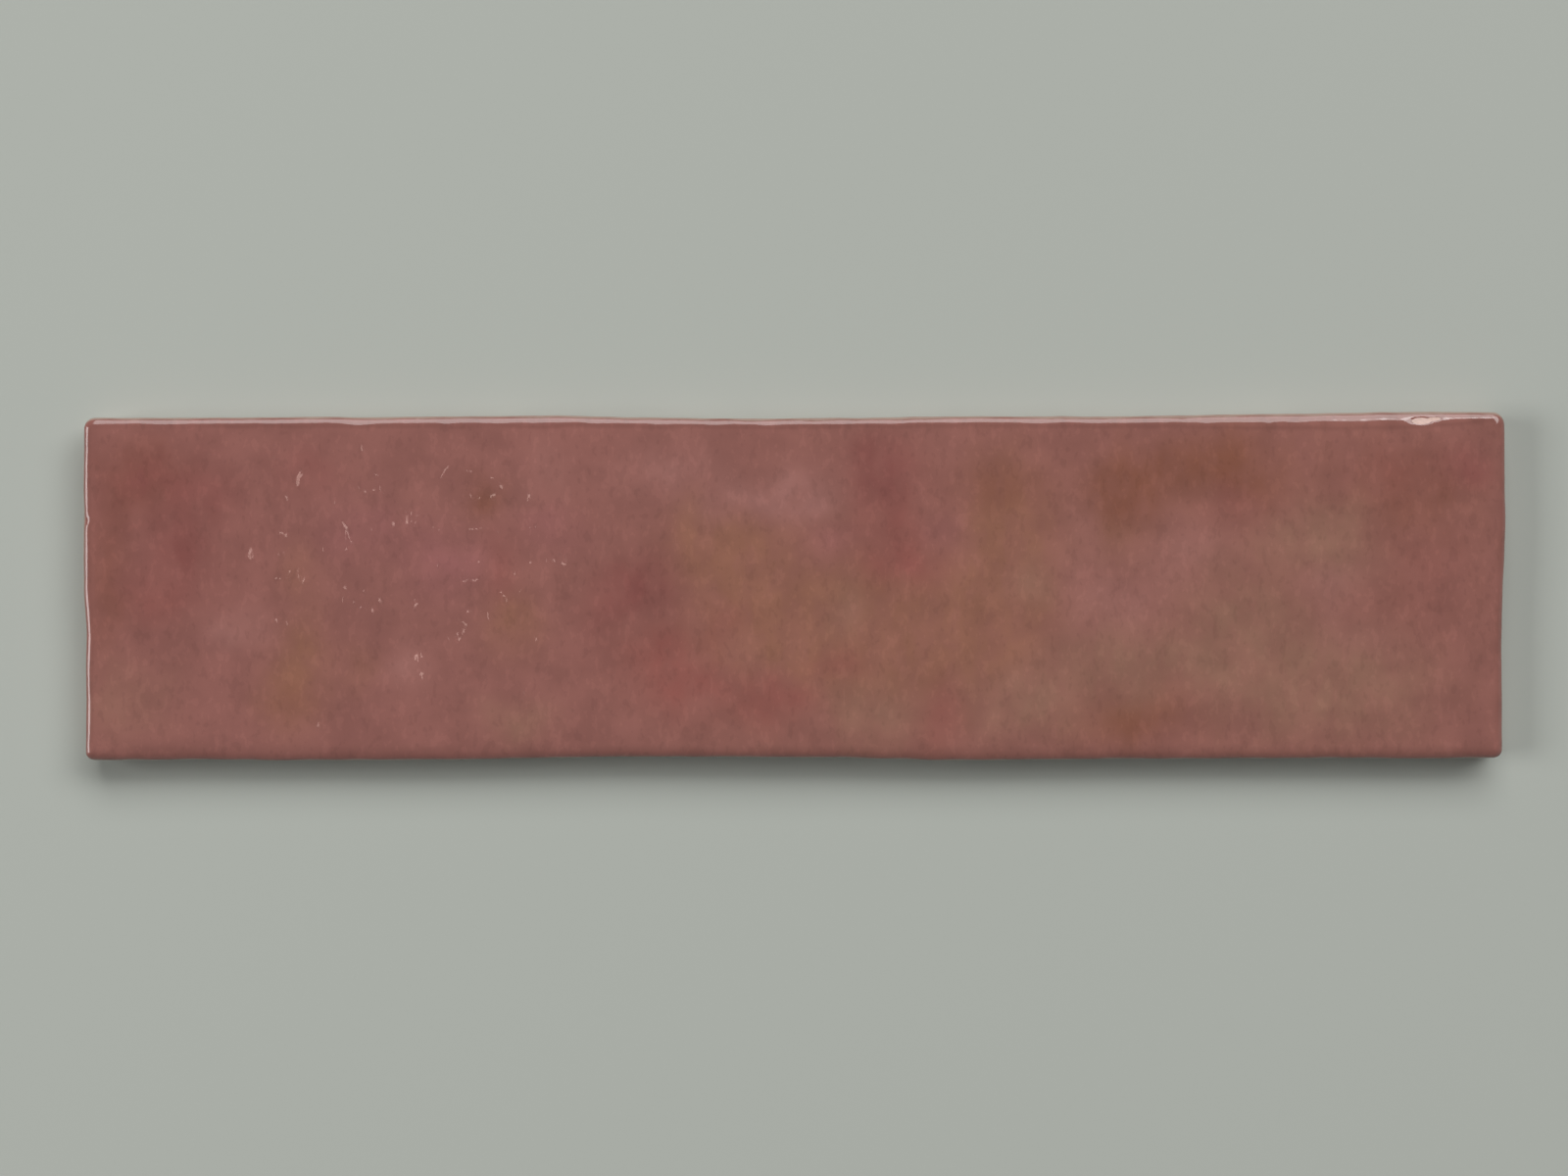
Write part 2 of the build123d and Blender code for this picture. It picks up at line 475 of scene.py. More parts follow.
PATCHES = (
    Patch(Tone.OCHRE, -88.0, -16.0, 5.0, 8.0, 1.0),
    Patch(Tone.OCHRE, -86.0, -8.0, 4.0, 5.0, 0.6),
    Patch(Tone.OCHRE, -87.0, 3.0, 4.0, 4.0, 0.5),
    Patch(Tone.OCHRE, -50.0, -6.0, 5.0, 4.5, 0.9),
    Patch(Tone.OCHRE, -77.0, -14.0, 3.0, 4.0, 0.4),
    Patch(Tone.OCHRE, -13.0, 7.0, 8.0, 6.0, 1.0),
    Patch(Tone.OCHRE, -18.0, 14.0, 3.0, 4.0, 0.6),
    Patch(Tone.OCHRE, -2.0, -5.0, 15.0, 11.0, 1.0),
    Patch(Tone.OCHRE, 16.0, -11.0, 15.0, 9.0, 1.0),
    Patch(Tone.OCHRE, 30.0, -6.0, 14.0, 10.0, 1.0),
    Patch(Tone.OCHRE, 38.0, 9.0, 8.0, 13.0, 1.0),
    Patch(Tone.OCHRE, 56.0, 9.0, 4.0, 4.0, 0.7),
    Patch(Tone.OCHRE, 12.0, -6.0, 40.0, 28.0, 0.3),
    Patch(Tone.OCHRE, 92.0, 0.0, 45.0, 40.0, 0.3),
    Patch(Tone.EMBER, -113.0, -2.0, 5.0, 4.0, 0.6),
    Patch(Tone.EMBER, -52.0, 3.0, 4.0, 6.0, 0.6),
    Patch(Tone.EMBER, -23.0, -12.0, 8.0, 6.0, 1.0),
    Patch(Tone.EMBER, -17.0, -18.0, 7.0, 4.0, 0.9),
    Patch(Tone.EMBER, -3.0, -20.0, 8.0, 3.5, 0.9),
    Patch(Tone.EMBER, -12.0, -6.0, 3.0, 4.0, 0.4),
    Patch(Tone.EMBER, 8.0, -14.0, 5.0, 3.0, 0.6),
    Patch(Tone.EMBER, 18.0, 10.0, 6.0, 7.0, 0.8),
    Patch(Tone.EMBER, 19.0, 3.0, 6.0, 4.0, 0.7),
    Patch(Tone.EMBER, 26.0, -22.0, 4.0, 5.0, 1.0),
    Patch(Tone.MAUVE, -98.0, -7.0, 5.0, 4.0, 0.9),
    Patch(Tone.MAUVE, -69.0, -14.0, 4.0, 4.0, 0.7),
    Patch(Tone.MAUVE, -44.0, 20.0, 6.0, 6.0, 0.4),
    Patch(Tone.MAUVE, -22.0, 21.0, 9.0, 5.0, 0.8),
    Patch(Tone.MAUVE, -7.0, 15.0, 11.0, 4.0, 0.8),
    Patch(Tone.MAUVE, 2.0, 17.0, 6.0, 5.0, 0.8),
    Patch(Tone.MAUVE, 56.0, -2.0, 11.0, 8.0, 0.7),
    Patch(Tone.MAUVE, 70.0, 8.0, 8.0, 7.0, 0.6),
    Patch(Tone.MAUVE, 50.0, 12.0, 4.0, 7.0, 0.5),
    Patch(Tone.MAUVE, 94.0, 1.0, 6.0, 7.0, 0.7),
    Patch(Tone.MAUVE, 98.0, -10.0, 8.0, 4.0, 0.4),
    Patch(Tone.UMBER, -115.0, 19.5, 7.0, 6.0, 0.9),
    Patch(Tone.UMBER, -121.0, 2.0, 4.0, 13.0, 0.5),
    Patch(Tone.UMBER, -54.0, 16.0, 3.0, 3.5, 0.8),
    Patch(Tone.UMBER, -88.0, -19.0, 4.0, 4.0, 0.3),
    Patch(Tone.UMBER, 36.0, 18.0, 8.0, 4.0, 0.5),
    Patch(Tone.UMBER, 57.0, 17.0, 7.0, 7.0, 1.0),
    Patch(Tone.UMBER, 68.0, 21.0, 8.0, 5.0, 0.8),
    Patch(Tone.UMBER, 79.0, 21.0, 8.0, 6.0, 0.9),
    Patch(Tone.UMBER, 59.0, -22.0, 10.0, 5.5, 1.0),
    Patch(Tone.UMBER, 108.0, 17.0, 11.0, 8.0, 0.6),
    Patch(Tone.SAGE, -49.0, -23.0, 6.0, 3.5, 0.8),
    Patch(Tone.SAGE, -118.0, -20.0, 9.0, 7.0, 0.5),
    Patch(Tone.SAGE, 9.0, -4.0, 4.0, 5.0, 0.7),
    Patch(Tone.SAGE, 14.0, -22.0, 8.0, 6.0, 0.9),
    Patch(Tone.SAGE, 42.0, 2.0, 3.0, 4.0, 0.7),
    Patch(Tone.SAGE, 41.0, -21.0, 10.0, 6.0, 1.0),
    Patch(Tone.SAGE, 59.0, -13.0, 13.0, 6.0, 1.0),
    Patch(Tone.SAGE, 78.0, -8.0, 9.0, 11.0, 0.9),
    Patch(Tone.SAGE, 85.0, -15.0, 12.0, 9.0, 0.8),
    Patch(Tone.SAGE, 89.0, 9.0, 8.0, 6.0, 0.8),
    Patch(Tone.SAGE, 97.0, 9.0, 5.0, 7.0, 0.7),
    Patch(Tone.SAGE, 99.0, -18.0, 12.0, 8.0, 0.9),
    Patch(Tone.PLUM, -112.0, 10.0, 16.0, 18.0, 0.35),
    Patch(Tone.PLUM, -115.0, 19.5, 7.0, 5.0, 0.7),
    Patch(Tone.PLUM, -108.0, 5.0, 6.0, 6.0, 0.7),
    Patch(Tone.PLUM, -104.0, 16.0, 7.0, 5.0, 0.4),
    Patch(Tone.PLUM, -85.0, 20.0, 5.0, 4.0, 0.5),
    Patch(Tone.PLUM, -28.0, 0.0, 7.0, 5.5, 1.0),
    Patch(Tone.PLUM, -35.0, -6.0, 4.0, 6.0, 0.5),
    Patch(Tone.PLUM, 16.0, 20.0, 6.0, 6.0, 1.0),
    Patch(Tone.PLUM, 17.0, 9.0, 6.0, 6.0, 0.3),
    Patch(Tone.PLUM, 78.0, 15.0, 5.0, 4.0, 0.4),
    Patch(Tone.PLUM, 105.0, 20.0, 9.0, 5.0, 0.4),
    Patch(Tone.PLUM, 118.0, 22.0, 5.0, 4.0, 0.9),
    Patch(Tone.PLUM, 112.0, 2.0, 9.0, 9.0, 0.35),
    Patch(Tone.BLUSH, -75.0, 10.0, 9.0, 6.0, 0.6),
    Patch(Tone.BLUSH, -61.0, 4.0, 7.0, 6.0, 0.8),
    Patch(Tone.BLUSH, -43.0, 10.0, 6.0, 4.0, 0.5),
    Patch(Tone.BLUSH, 7.0, 8.0, 5.0, 3.0, 0.5),
    Patch(Tone.BLUSH, 27.0, 10.0, 4.0, 5.0, 0.5),
)


@dataclass(frozen=True)
class FiredTile:
    """The whole tile: glazed face, rounded arris, side walls and keyed back, in mm.

    A scoop shows the body where its bare share is past the chip level. The face step, the border
    step and the two counts of steps set how fine the mesh is.
    """

    plan: TilePlan = TilePlan()
    keying: Keying = Keying()
    relief: GlazeRelief = GlazeRelief()
    thickness: float = 8.5
    back_chamfer: float = 0.5
    edge_fall: float = 0.2
    edge_reach: float = 5.0
    waves: tuple[Wave, ...] = (
        Wave(height=0.10, spacing=118.0, heading=14.0, phase=35.0),
        Wave(height=0.07, spacing=61.0, heading=108.0, phase=160.0),
        Wave(height=0.05, spacing=43.0, heading=-38.0, phase=250.0),
    )
    # Each side's thin border pales its arris: partly thin glaze, partly a painted sheen, widest on the
    # back and left sides, where the lamps fall
    front_arris: Arris = Arris(run=2.4, drop=1.4, thin_and_sheen=0.25)
    right_arris: Arris = Arris(run=1.9, drop=1.2, thin_and_sheen=0.2)
    # The back and left arrises have a darker band just inside them
    back_arris: Arris = Arris(run=1.6, drop=0.8, thin_and_sheen=0.5, rim=0.35)
    left_arris: Arris = Arris(run=1.1, drop=0.65, thin_and_sheen=0.3, rim=0.25)
    scoops: tuple[Scoop, ...] = (
        Scoop(x=110.3, y=29.4, along=1.6, inward=0.57, outward=0.48, depth=0.18, bare=1.0),
        Scoop(x=112.6, y=29.75, along=1.1, inward=0.35, outward=0.3, depth=0.09, bare=0.8),
        Scoop(x=-124.7, y=11.95, along=0.55, inward=0.5, outward=0.5, depth=0.3),
    )
    chip_level: float = 0.3
    chip_sharpness: float = 6.0
    patches: tuple[Patch, ...] = PATCHES
    patch_wander: float = 2.5
    patch_wander_spacing: float = 8.0
    face_step: float = 0.55
    border: float = 5.0
    border_step: float = 0.3
    arris_border: float = 2.3
    arris_steps: int = 12
    wall_steps: int = 14
    sharp_angle: float = 32.0

    def stations(self, span: float) -> list[float]:
        """Sets grid lines across a span: close on the arris and its border, wider on the face.

        Args:
            span: length of the side that the lines divide.

        Returns:
            Places of the lines, from one end to the other.
        """
        turns = [pi / 2 * i / self.arris_steps for i in range(self.arris_steps)]
        arris = [self.arris_border * (1 - cos(turn)) for turn in turns]
        count = round((self.border - self.arris_border) / self.border_step)
        rim = [self.arris_border + (self.border - self.arris_border) * i / count for i in range(count)]
        inner = span - 2 * self.border
        count = round(inner / self.face_step)
        face = [self.border + inner * i / count for i in range(count + 1)]
        near = arris + rim
        places = near + face + [span - place for place in reversed(near)]
        return [place - span / 2 for place in places]

    def sheet(self) -> bmesh.types.BMesh:
        """Makes the nominal sheet: a grid for the face, with walls hanging from its border.

        Returns:
            A mesh whose x and y lie in the nominal rectangle. Its z is the stage: 0 on the face,
            falling evenly to the foot of the walls, and one more at the foot of the bevel.
        """
        columns, rows = self.stations(self.plan.length), self.stations(self.plan.width)
        bm = bmesh.new()
        bmesh.ops.create_grid(bm, x_segments=len(columns) - 1, y_segments=len(rows) - 1, size=0.5)
        for vert in bm.verts:
            column = round((vert.co.x + 0.5) * (len(columns) - 1))
            row = round((vert.co.y + 0.5) * (len(rows) - 1))
            vert.co = (columns[column], rows[row], 0.0)
        rim = [edge for edge in bm.edges if edge.is_boundary]
        falls = [-WALL_FOOT / self.wall_steps] * self.wall_steps + [WALL_FOOT - BEVEL_FOOT]
        for fall in falls:
            grown = bmesh.ops.extrude_edge_only(bm, edges=rim)["geom"]
            fresh = [part for part in grown if isinstance(part, bmesh.types.BMVert)]
            bmesh.ops.translate(bm, verts=fresh, vec=(0.0, 0.0, -fall))
            rim = [part for part in grown if isinstance(part, bmesh.types.BMEdge) and part.is_boundary]
        return bm

    def level(self, point: PlanPoint) -> float:
        """Gives the height of the unrounded face above the back at a point of the plan.

        Args:
            point: the point of the plan.

        Returns:
            The height, in mm, with the face's swells, its fall to its edges and its dips.
        """
        fall = self.edge_fall * (1 - eased(point.depth / self.edge_reach))
        swell = sum(wave.level(point.x, point.y) for wave in self.waves)
        dip = max(scoop.share(point) * scoop.depth for scoop in self.scoops)
        return self.thickness - fall + swell - dip

    def edge_step(self, point: PlanPoint) -> float:
        """Gives how far the glaze's own waver moves a point outwards, fading in from the outline."""
        fade = 1 - eased(point.depth / self.relief.edge_reach)
        return self.relief.edge(point.x, point.y) * fade

    def arris_at(self, point: PlanPoint) -> Arris:
        """Gives the arris beside a point, blended from one side to the next round the corners.

        Args:
            point: the point of the plan.

        Returns:
            The arris there.
        """
        side_x = self.right_arris if point.out_x > 0 else self.left_arris
        side_y = self.back_arris if point.out_y > 0 else self.front_arris
        share_x, share_y = point.out_x**2, point.out_y**2
        room = self.plan.length / 2 - abs(point.x)
        swell = self.relief.swell(point.x, point.y, point.bulge, room)
        run = (side_x.run * share_x + side_y.run * share_y) * swell
        drop = side_x.drop * share_x + side_y.drop * share_y
        thin_and_sheen = side_x.thin_and_sheen * share_x + side_y.thin_and_sheen * share_y
        rim = side_x.rim * share_x + side_y.rim * share_y
        return Arris(run, drop, thin_and_sheen, rim)

    def settle(self, bm: bmesh.types.BMesh) -> None:
        """Moves the nominal sheet to the tile's real form and marks it for its finish.

        Args:
            bm: the nominal sheet.
        """
        layers = bm.verts.layers.float
        marks = {mark: layers.new(mark.value) for mark in Mark}
        tone_marks = {tone: layers.new(tone.value) for tone in Tone}
        face_foot = WALL_FOOT / (2 * self.wall_steps)
        for vert in bm.verts:
            nominal_x, nominal_y, stage = vert.co
            point = self.plan.place(nominal_x, nominal_y)
            self.mark_tones(vert, point, tone_marks)
            if stage > face_foot:
                self.settle_face(vert, point, marks)
            else:
                self.settle_wall(vert, point, stage, marks)

    def settle_face(self, vert: bmesh.types.BMVert, point: PlanPoint, marks: dict) -> None:
        """Moves and marks a vertex of the face or its arris.

        Args:
            vert: the vertex.
            point: its point of the plan.
            marks: the layer that holds each mark.
        """
        arris = self.arris_at(point)
        edge = self.edge_step(point)
        bared = max(scoop.share(point) * scoop.bare for scoop in self.scoops)
        rim_darkening = self.relief.rim_darkening(point.x, point.y, point.depth, arris.run)
        # Pale arris border: partly thin glaze, partly a painted sheen
        vert[marks[Mark.THIN]] = self.relief.thin_and_sheen_share(point.x, point.y, arris.thin_and_sheen - point.depth)
        vert[marks[Mark.OVER_LINE]] = self.chip_sharpness * (self.chip_level - bared)
        # Darker band just inside the arris
        vert[marks[Mark.RIM]] = arris.rim * rim_darkening
        height = self.face_height(point, arris)
        vert.co = (point.x + point.out_x * edge, point.y + point.out_y * edge, height)

    def settle_wall(
        self, vert: bmesh.types.BMVert, point: PlanPoint, stage: float, marks: dict
    ) -> None:
        """Moves and marks a vertex of the walls or of the bevel round the back.

        Args:
            vert: the vertex.
            point: its point of the plan.
            stage: its stage down the nominal sheet.
            marks: the layer that holds each mark.
        """
        arris = self.arris_at(point)
        edge = self.edge_step(point)
        crown = self.level(point) - arris.drop
        height = crown + (self.back_chamfer - crown) * min(stage / WALL_FOOT, 1.0)
        line = self.relief.line(point.x, point.y)
        bare = 1 - eased((height - line) / self.relief.line_blend + 0.5)
        inset = self.relief.coat * bare - edge * (1 - bare)
        if stage < (WALL_FOOT + BEVEL_FOOT) / 2:
            height = 0.0
            inset += self.back_chamfer
        fade = 1 - eased((crown - height) / self.relief.edge_reach)
        # Upper walls paled with their side's arris: partly thin glaze, partly a painted sheen
        vert[marks[Mark.THIN]] = min(arris.thin_and_sheen, 1.0) * fade
        vert[marks[Mark.OVER_LINE]] = height - line
        vert.co = (point.x - point.out_x * inset, point.y - point.out_y * inset, height)

    def face_height(self, point: PlanPoint, arris: Arris) -> float:
        """Gives the height of the glaze above the back at a point of the face or its arris.

        Args:
            point: the point of the plan.
            arris: the arris there.

        Returns:
            The height, in mm.
        """
        fade = eased((point.depth - arris.run / 2) / self.relief.fade)
        fine = self.relief.face(point.x, point.y) * fade
        short = min(max(1 - point.depth / arris.run, 0.0), 1.0)
        return self.level(point) + fine - arris.drop * (1 - sqrt(1 - short * short))

    def mark_tones(self, vert: bmesh.types.BMVert, point: PlanPoint, marks: dict) -> None:
        """Writes the share of each tone of the glaze at a point.

        Args:
            vert: the vertex that is marked.
            point: its point of the plan.
            marks: the layer that holds each tone.
        """
        spacing = self.patch_wander_spacing
        x = point.x + self.patch_wander * ripple(point.x, point.y, spacing, Layer.PATCH_ALONG)
        y = point.y + self.patch_wander * ripple(point.x, point.y, spacing, Layer.PATCH_ACROSS)
        shares = dict.fromkeys(marks, 0.0)
        for patch in self.patches:
            shares[patch.tone] += patch.weight(x, y)
        for tone, mark in marks.items():
            vert[mark] = min(shares[tone], 1.0)

    def key_back(self, bm: bmesh.types.BMesh) -> None:
        """Closes the back and presses its pockets.

        Args:
            bm: the settled tile, open at the back.
        """
        keying = self.keying
        rim = [edge for edge in bm.edges if edge.is_boundary]
        back = bmesh.ops.contextual_create(bm, geom=rim)["faces"]
        line_mark = bm.verts.layers.float[Mark.OVER_LINE.value]
        columns = keying.middles(self.plan.length, keying.pitch_along)
        rows = keying.middles(self.plan.width, keying.pitch_across)
        half_along = (keying.pitch_along - keying.rib) / 2
        half_across = (keying.pitch_across - keying.rib) / 2
        cuts = [((place + side * half_along, 0, 0), (1, 0, 0)) for place in columns for side in (-1, 1)]
        cuts += [((0, place + side * half_across, 0), (0, 1, 0)) for place in rows for side in (-1, 1)]
        for spot, across in cuts:
            geom = dict.fromkeys(back)
            for face in back:
                geom.update(dict.fromkeys(face.edges))
                geom.update(dict.fromkeys(face.verts))
            cut = bmesh.ops.bisect_plane(bm, geom=list(geom), plane_co=spot, plane_no=across)
            back = [part for part in cut["geom"] if isinstance(part, bmesh.types.BMFace)]
        pockets = []
        for face in back:
            middle = face.calc_center_bounds()
            in_column = any(abs(middle.x - place) < keying.rib for place in columns)
            in_row = any(abs(middle.y - place) < keying.rib for place in rows)
            if in_column and in_row:
                pockets.append(face)
        lean = keying.depth * tan(radians(keying.draft))
        bmesh.ops.inset_individual(
            bm,
            faces=pockets,
            thickness=lean,
            depth=-keying.depth,
            use_even_offset=True,
        )
        slants = []
        for edge in bm.edges:
            low, high = sorted(vert.co.z for vert in edge.verts)
            inside = max(abs(vert.co.y) for vert in edge.verts) < self.plan.width / 2 - keying.border
            sloping = low < keying.level_slack and abs(high - keying.depth) < keying.level_slack
            if sloping and inside:
                slants.append(edge)
        bmesh.ops.bevel(
            bm,
            geom=slants,
            offset=keying.corner,
            offset_type="OFFSET",
            segments=keying.corner_segments,
            profile=0.5,
            affect="EDGES",
            material=-1,
        )
        for vert in bm.verts:
            in_pocket = vert.co.z < 2 * keying.depth and vert[line_mark] == 0.0
            if in_pocket or vert.co.z < self.back_chamfer / 2:
                vert[line_mark] = -self.relief.line_height

    def build(self) -> bpy.types.Object:
        """Models the tile and puts it in the frame.

        Returns:
            The finished object, at the origin, in metres.
        """
        bm = self.sheet()
        self.settle(bm)
        low = [min(vert.co[axis] for vert in bm.verts) for axis in (0, 1)]
        high = [max(vert.co[axis] for vert in bm.verts) for axis in (0, 1)]
        middle = [(a + b) / 2 for a, b in zip(low, high)]
        bmesh.ops.translate(bm, verts=bm.verts, vec=(-middle[0], -middle[1], 0.0))
        self.key_back(bm)
        bmesh.ops.recalc_face_normals(bm, faces=bm.faces)
        bmesh.ops.scale(bm, verts=bm.verts, vec=(MM, MM, MM))
        mesh = bpy.data.meshes.new(PIECE)
        bm.to_mesh(mesh)
        bm.free()
        mesh.shade_smooth()
        mesh.set_sharp_from_angle(angle=radians(self.sharp_angle))
        piece = bpy.data.objects.new(PIECE, mesh)
        bpy.context.scene.collection.objects.link(piece)
        return piece


@dataclass(frozen=True)
class Span:
    """A run of values, low to high, that is eased into another, start to end."""

    low: float
    high: float
    start: float = 0.0
    end: float = 1.0


class NodeGraph:
    """The node tree of a material or a world, with short calls for the nodes that they use."""

    def __init__(self, owner: bpy.types.Material | bpy.types.World) -> None:
        """Starts with an empty tree.

        Args:
            owner: the material or world that has the tree.
        """
        owner.use_nodes = True
        self.tree = owner.node_tree
        self.tree.nodes.clear()

    def add(self, kind: str, **settings: object) -> bpy.types.Node:
        """Adds a node and sets its own properties.

        Args:
            kind: the node's type.
            settings: its properties, by name.

        Returns:
            The node.
        """
        node = self.tree.nodes.new(kind)
        for name, value in settings.items():
            setattr(node, name, value)
        return node

    def feed(self, socket: bpy.types.NodeSocket, value: object) -> None:
        """Links a socket to another, or sets its value.

        Args:
            socket: the input that is fed.
            value: an output to link, or a plain value.
        """
        if isinstance(value, bpy.types.NodeSocket):
            self.tree.links.new(value, socket)
        else:
            socket.default_value = value

    def math(self, operation: str, first: Feed, second: Feed = 0.0) -> bpy.types.NodeSocket:
        """Works out a sum, product or other operation of two numbers.

        Args:
            operation: the operation's name.
            first: the first number.
            second: the second number, where the operation has one.

        Returns:
            The socket that gives the result.
        """
        node = self.add("ShaderNodeMath", operation=operation)
        self.feed(node.inputs[0], first)
        self.feed(node.inputs[1], second)
        return node.outputs[0]

    def ramp(self, value: Feed, span: Span) -> bpy.types.NodeSocket:
        """Eases a value along a span.

        Args:
            value: the value, which runs from the span's low to its high.
            span: the span.

        Returns:
            The socket that gives the eased value, which runs from the span's start to its end.
        """
        node = self.add("ShaderNodeMapRange", interpolation_type="SMOOTHSTEP")
        node.inputs["From Min"].default_value = span.low
        node.inputs["From Max"].default_value = span.high
        node.inputs["To Min"].default_value = span.start
        node.inputs["To Max"].default_value = span.end
        self.feed(node.inputs["Value"], value)
        return node.outputs["Result"]

    def band(self, value: Feed, middle: float, reach: float, height: float) -> bpy.types.NodeSocket:
        """Rises to a height where a value meets the middle, and falls to 0 a reach away from it."""
        off = self.math("ABSOLUTE", self.math("SUBTRACT", value, middle))
        return self.ramp(off, Span(0.0, reach, height, 0.0))

    def blend(self, share: Feed, under: object, over: object, mode: str = "MIX") -> bpy.types.NodeSocket:
        """Lays one colour over another.

        Args:
            share: how much of the upper colour shows.
            under: the lower colour.
            over: the upper colour.
            mode: the way that they blend.

        Returns:
            The socket that gives the colour.
        """
        node = self.add("ShaderNodeMix", data_type="RGBA", blend_type=mode)
        self.feed(node.inputs[MIX_SHARE], share)
        self.feed(node.inputs[MIX_UNDER], under)
        self.feed(node.inputs[MIX_OVER], over)
        return node.outputs[MIX_COLOUR]

    def shade(self, colour: object, factor: bpy.types.NodeSocket) -> bpy.types.NodeSocket:
        """Makes a colour lighter or darker by a factor."""
        return self.blend(1.0, colour, factor, "MULTIPLY")

    def attribute(self, mark: Mark | Tone) -> bpy.types.NodeSocket:
        """Reads a number that the mesh carries at each vertex."""
        return self.add("ShaderNodeAttribute", attribute_name=mark.value).outputs["Fac"]

    def millimetres(self, stretch_y: float = 1.0) -> bpy.types.NodeSocket:
        """Gives the place on the piece in millimetres.

        Args:
            stretch_y: factor on the place across the tile, below 1 for patterns drawn out across it.

        Returns:
            The socket that gives the place.
        """
        node = self.add("ShaderNodeMapping")
        node.inputs["Scale"].default_value = (1 / MM, stretch_y / MM, 1 / MM)
        self.feed(node.inputs["Vector"], self.add("ShaderNodeTexCoord").outputs["Object"])
        return node.outputs["Vector"]

    def noise(self, place: bpy.types.NodeSocket, spacing: float, detail: float) -> bpy.types.NodeSocket:
        """Reads cloudy noise, 0 to 1.

        Args:
            place: the socket that gives the place, in mm.
            spacing: about how far apart the clouds are, in mm.
            detail: how many finer layers it has.

        Returns:
            The socket that gives the noise.
        """
        node = self.add("ShaderNodeTexNoise")
        node.inputs["Scale"].default_value = 1 / spacing
        node.inputs["Detail"].default_value = detail
        self.feed(node.inputs["Vector"], place)
        return node.outputs[0]

    def surface(self, colour: object, roughness: Feed, normal: object = None) -> None:
        """Closes a material with its shader.

        Args:
            colour: base colour, as a socket or a value.
            roughness: roughness, as a socket or a value.
            normal: shading normal, as a socket, or nothing.
        """
        shader = self.add("ShaderNodeBsdfPrincipled")
        self.feed(shader.inputs["Base Color"], colour)
        self.feed(shader.inputs["Roughness"], roughness)
        if normal is not None:
            self.feed(shader.inputs["Normal"], normal)
        self.feed(self.add("ShaderNodeOutputMaterial").inputs["Surface"], shader.outputs[0])


